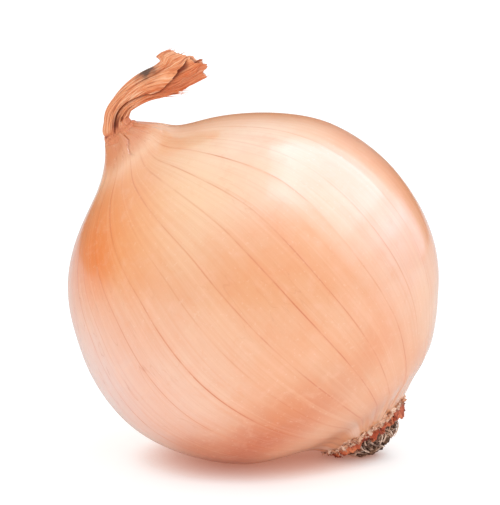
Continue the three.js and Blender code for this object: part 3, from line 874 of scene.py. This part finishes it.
def build_rim(torn):
    """The ragged ridge of torn scale, a closed ring."""
    rows, columns = RIM_ROWS, RING_COLUMNS
    angle = np.linspace(0, 2 * np.pi, columns, endpoint=False)[None]
    hang = 1.35 + 0.7 * ring_noise(angle, 15, 62) + 0.9 * np.abs(ring_noise(angle, 40, 63))
    hang = hang + 0.25 * ring_noise(angle, 95, 64)
    flare = 0.35 + 0.6 * ring_noise(angle, 11, 65) + 0.8 * ring_noise(angle, 28, 66)
    thick = 2.6 + 0.7 * ring_noise(angle, 24, 67)
    middle = RIM_RADIUS + 0.3 * ring_noise(angle, 13, 68)
    loop = np.linspace(0, 2 * np.pi, rows, endpoint=False)[:, None]
    down = (1 - np.cos(loop)) / 2
    radius = middle + flare * down**1.5 + np.sin(loop) * thick / 2 * (1 - 0.55 * down)
    z = 1.3 - (1.3 + hang) * down
    points = vectors(radius * np.cos(angle), radius * np.sin(angle), z)
    points += 0.5 * vectors(*(octaves(points / 1.1, 3, 69 + 5 * k) for k in range(3)))
    i, j = np.meshgrid(np.arange(rows), np.arange(columns), indexing="ij")
    here, ahead, k = i * columns, (i + 1) % rows * columns, (j + 1) % columns
    faces = vectors(here + j, ahead + j, ahead + k, here + k).reshape(-1, 4).tolist()
    grain = vectors(0.5 + 0.5 * noise(points / 1.5, 72), down + 0 * angle, angle + 0 * loop)
    make_piece(
        "torn_ridge", set_down(at_root_end(points), RING_CLEARANCE), faces, torn, "torn_scale",
        node="torn_scale_rim", strand=grain,
    )


def ring_of(count, radius, height, jitter):
    """Places round the root end, and the way outwards at each."""
    angle = rng.uniform(0, 2 * np.pi, count)
    r = rng.uniform(*radius, count)
    out = vectors(np.cos(angle), np.sin(angle), 0 * angle)
    middle = out * r[:, None]
    middle[:, 2] = height(r) + rng.uniform(-jitter, jitter, count)
    return middle, out


def skin_below(radius):
    """Height of the skin in the root end's own frame, at a radius outside it."""
    return base_depth(BASE_END) + GAP - base_depth(radius) - base_fill(radius)


def build_flakes(torn, pale):
    down = np.array([0.0, 0.0, -1.0])
    middle, out = ring_of(TORN_FLAKES, (7.7, 9.3), lambda r: -0.6 + 0 * r, 1.0)
    facing = out + rng.normal(0, 0.6, out.shape)
    pointing = down + out * 0.5 + rng.normal(0, 0.6, out.shape)
    size = rng.uniform(0.6, 1.9, (TORN_FLAKES, 1)) * np.array([[1.0, 0.75]])
    # Two longer tongues stick out on the root end's upper side.
    middle = np.vstack([middle, [[8.6, -1.6, -0.6], [8.9, 0.6, 0.2]]])
    facing = np.vstack([facing, [[0.1, -0.8, 0.6], [0.3, -0.6, 0.7]]])
    pointing = np.vstack([pointing, [[1.0, -0.1, -0.1], [1.0, 0.1, 0.9]]])
    size = np.vstack([size, [[3.0, 1.4], [2.0, 1.2]]])
    flake_piece("torn_flakes", middle, facing, pointing, size, torn)

    # Paler crumbs lie on the skin just outside the ridge.
    middle, out = ring_of(PALE_FLAKES, (9.0, 11.0), lambda r: skin_below(r) - 0.5, 0.3)
    facing = out * 0.75 + down * 0.65 + rng.normal(0, 0.5, out.shape)
    pointing = down * 0.6 - out * 0.8 + rng.normal(0, 0.6, out.shape)
    size = rng.uniform(0.5, 1.9, (PALE_FLAKES, 1)) * np.array([[1.0, 0.7]])
    flake_piece("pale_flakes", middle, facing, pointing, size, pale, thickness=0.2)


def build_collar(pale):
    """The crumbly pale band between the smooth skin and the torn ridge."""
    share, angle = turn_grid(COLLAR_ROWS, RING_COLUMNS)
    outer = 10.7 + 0.8 * ring_noise(angle, 12, 90) + 0.5 * ring_noise(angle, 40, 91)
    radius = lerp(outer, 8.7, share)
    points = vectors(radius * np.cos(angle), radius * np.sin(angle), skin_below(radius))
    crumbs = 0.4 * octaves(points / 1.3, 3, 92) + 0.2 * noise(points / 0.4, 96)
    points[..., 2] -= (0.4 + crumbs) * smoothstep(share, 0, 0.2) - 0.35 * (1 - smoothstep(share, 0, 0.15))
    points[-1, :, 2] += 0.6
    placed = set_down(at_root_end(points), RING_CLEARANCE)
    grain = vectors(np.clip(0.5 + 0.9 * crumbs, 0, 1), share, angle)
    faces = grid_faces(COLLAR_ROWS, RING_COLUMNS)
    make_piece("pale_collar", placed, faces, pale, "torn_scale", strand=grain)


def build_tuft(root, cork):
    # A dark lumpy mat under the strands, partly the dense inner roots and partly painted shade, so the gaps
    # between strands look dark.
    share, angle = turn_grid(MAT_ROWS, MAT_COLUMNS, 0.01, 0.99)
    polar = share * np.pi
    shape = vectors(np.sin(polar) * np.cos(angle), np.sin(polar) * np.sin(angle), -np.cos(polar))
    half = TUFT_DEPTH / 2
    points = shape * np.array([TUFT_RADIUS - 1.0, TUFT_RADIUS - 1.0, half]) + [0, 0, 0.4 - PLATE_DEPTH - half]
    points += shape * (0.9 * octaves(points / 1.9, 4, 80))[..., None]
    placed = set_down(at_root_end(points), MAT_CLEARANCE)
    grain = vectors(0.3 + 0.5 * noise(points / 1.2, 81), share, angle)
    faces = grid_faces(MAT_ROWS, MAT_COLUMNS)
    make_piece("root_mat", placed, faces, cork, "dry_root", node="root_tuft", strand=grain)

    # Strands that wander out from the plate and turn back where they reach the tuft's outline.
    count = STRAND_COUNT
    start = rng.uniform(0, 2 * np.pi, count)
    out = (TUFT_RADIUS - 0.4) * np.sqrt(rng.uniform(0, 1, count))
    at = vectors(out * np.cos(start), out * np.sin(start), np.full(count, 0.2 - PLATE_DEPTH))
    way = vectors(0.9 * np.cos(start), 0.9 * np.sin(start), np.full(count, -0.8))
    way += rng.normal(0, 0.45, way.shape)
    bend = rng.normal(0, 0.3, (count, 3))
    reach = rng.uniform(0.85, 1.12, (count, 1))
    room = np.array([TUFT_RADIUS, TUFT_RADIUS, TUFT_DEPTH])
    middle = np.array([0, 0, 0.3 - PLATE_DEPTH])
    path = [at]
    for _ in range(STRAND_STEPS - 1):
        bend = 0.7 * bend + rng.normal(0, 0.3, bend.shape)
        way = unit_length(way + bend)
        at = at + way * STRAND_STRIDE
        far = np.linalg.norm((at - middle) / room, axis=1, keepdims=True) / reach
        outward = (at - middle) / room / np.maximum(far, 1e-6)
        over = (far > 1).astype(float)
        at = at - over * (at - middle) * (1 - 1 / np.maximum(far, 1))
        way = way - over * outward * np.maximum(np.sum(way * outward, axis=1, keepdims=True), 0) * 1.2
        path.append(at)
    paths = place(at_root_end(np.stack(path, axis=1))) * 1000
    thick = (0.12 + 0.24 * rng.uniform(0, 1, (count, 1)) ** 2) * np.linspace(1.1, 0.4, STRAND_STEPS)[None]
    paths[..., 2] = np.maximum(paths[..., 2], thick + STRAND_CLEARANCE * 1000)
    strand_piece("root_strands", paths, thick, root, "dry_root")


leaf = dry_leaf_material()
build_neck(leaf)
torn = crumbly_material("torn_scale", rgb(92, 26, 18), rgb(178, 78, 48), rgb(238, 146, 102), 0.6, 520.0)
pale = crumbly_material("pale_crumbs", rgb(146, 78, 50), rgb(228, 172, 138), rgb(252, 222, 198), 0.7)
cork = crumbly_material("root_cork", rgb(42, 26, 20), rgb(98, 68, 50), rgb(156, 120, 94), 0.9)
root = crumbly_material("dry_root", rgb(86, 56, 44), rgb(182, 144, 120), rgb(240, 212, 192), 0.85, 400.0)
build_plate(cork)
build_rim(torn)
build_collar(pale)
build_flakes(torn, pale)
build_tuft(root, cork)

# ---- studio ----
EYE_DISTANCE = 0.46  # metres
EYE_HEIGHT = math.radians(10)
LENS, SENSOR = 150, 36  # millimetres
FRAME_WIDTH, FRAME_HEIGHT = 500, 505
FRAME_MIDDLE = (252, 290)  # where the onion's middle falls in the frame, from its top left
LIT_POINT = (0, 0, 0.04)  # what the lamps face
FLOOR_REACH = 8.0  # metres


def softbox(name, direction, distance, size, radiance, lit=True, mirrored=True, colour=(1, 1, 1)):
    """A rectangular light facing the onion. It may light surfaces, show as a highlight on them, or both."""
    data = bpy.data.lights.new(name, "AREA")
    data.shape = "RECTANGLE"
    data.size, data.size_y = size
    data.energy = radiance * math.pi * size[0] * size[1]
    data.color = colour
    lamp = bpy.data.objects.new(name, data)
    bpy.context.scene.collection.objects.link(lamp)
    lamp.visible_diffuse, lamp.visible_glossy = lit, mirrored
    away = Vector(direction).normalized()
    lamp.location = Vector(LIT_POINT) + away * distance
    lamp.rotation_euler = away.to_track_quat("Z", "Y").to_euler()


class Sky(Paint):
    """The room round the onion: even white light, but dim and warm near the horizon in reflections."""

    def __init__(self):
        world = bpy.data.worlds.new("studio")
        world.use_nodes = True
        self.tree = world.node_tree
        way = self.node("ShaderNodeTexCoord").outputs["Generated"]
        up = self.node("ShaderNodeSeparateXYZ", {0: way}).outputs["Z"]
        glossy = self.node("ShaderNodeLightPath").outputs["Is Glossy Ray"]
        lit, mirrored = self.ramp(up, 0.0, 0.8, 1.24, 0.92), self.ramp(up, 0.1, 0.8, 0.46, 0.88)
        strength = self.node("ShaderNodeMix", {0: glossy, 2: lit, 3: mirrored}).outputs[0]
        warm = self.mix(self.ramp(up, 0.1, 0.75), rgb(255, 178, 128), rgb(255, 255, 255))
        colour = self.mix(glossy, rgb(255, 255, 255), warm)
        self.feed(self.tree.nodes["Background"], {"Color": colour, "Strength": strength})
        bpy.context.scene.world = world


def build_studio():
    mesh = bpy.data.meshes.new("floor")
    sides = [(-1, -1), (1, -1), (1, 1), (-1, 1)]
    mesh.from_pydata([(x * FLOOR_REACH, y * FLOOR_REACH, 0) for x, y in sides], [], [(0, 1, 2, 3)])
    floor = bpy.data.objects.new("floor", mesh)
    bpy.context.scene.collection.objects.link(floor)
    paint = Paint("floor_white")
    grain = paint.noise(paint.spot(), 40.0)
    # The floor glows as painted light: evenly in the open, less and warmer close to the onion as a painted
    # shadow with painted warm bounce light.
    open_sky = paint.node("ShaderNodeAmbientOcclusion", {"Distance": 0.01}, samples=8).outputs["AO"]
    glossy = paint.node("ShaderNodeLightPath").outputs["Is Glossy Ray"]
    # The floor's glow is dimmer where the onion reflects it.
    dimmed = paint.math("SUBTRACT", 1.0, paint.times(glossy, 0.7))
    grey = paint.mix(paint.ramp(grain, 0.3, 0.7, 0.0, 0.3), rgb(196, 196, 197), rgb(194, 194, 195))
    glow = paint.mix(paint.ramp(open_sky, 0.0, 0.6), rgb(255, 172, 142), rgb(255, 255, 255))
    paint.feed(paint.shader, {
        "Base Color": grey,
        "Roughness": 0.6,
        "Specular IOR Level": 0.0,
        "Emission Color": glow,
        "Emission Strength": paint.times(paint.ramp(open_sky, 0.0, 0.7, 0.28, 0.6), dimmed),
    })
    mesh.materials.append(paint.material)

    Sky()
    cool = (0.84, 0.94, 1.2)
    softbox("top_light", (0.35, -0.1, 0.93), 1.0, (1.0, 1.0), 0.6, mirrored=False)
    softbox("big_softbox", (0.5, 0.02, 0.86), 0.9, (0.95, 0.95), 2.2, lit=False, colour=cool)
    softbox("wide_glow", (0.64, 0.04, 0.76), 0.88, (1.25, 1.05), 1.3, lit=False, colour=cool)
    softbox("side_glow", (0.77, 0.6, 0.2), 1.2, (0.32, 0.4), 0.9, lit=False, colour=cool)

    camera = bpy.data.objects.new("camera", bpy.data.cameras.new("camera"))
    bpy.context.scene.collection.objects.link(camera)
    camera.data.lens = LENS
    camera.data.sensor_width = SENSOR
    middle = Vector(shift / 1000)
    back = Vector((0, -math.cos(EYE_HEIGHT), math.sin(EYE_HEIGHT)))
    camera.location = middle + back * EYE_DISTANCE
    camera.rotation_euler = back.to_track_quat("Z", "Y").to_euler()
    camera.data.shift_x = (FRAME_WIDTH / 2 - FRAME_MIDDLE[0]) / FRAME_HEIGHT
    camera.data.shift_y = (FRAME_MIDDLE[1] - FRAME_HEIGHT / 2) / FRAME_HEIGHT
    camera.data.clip_end = 50
    bpy.context.scene.camera = camera
    bpy.context.scene.view_settings.view_transform = "Standard"


build_studio()
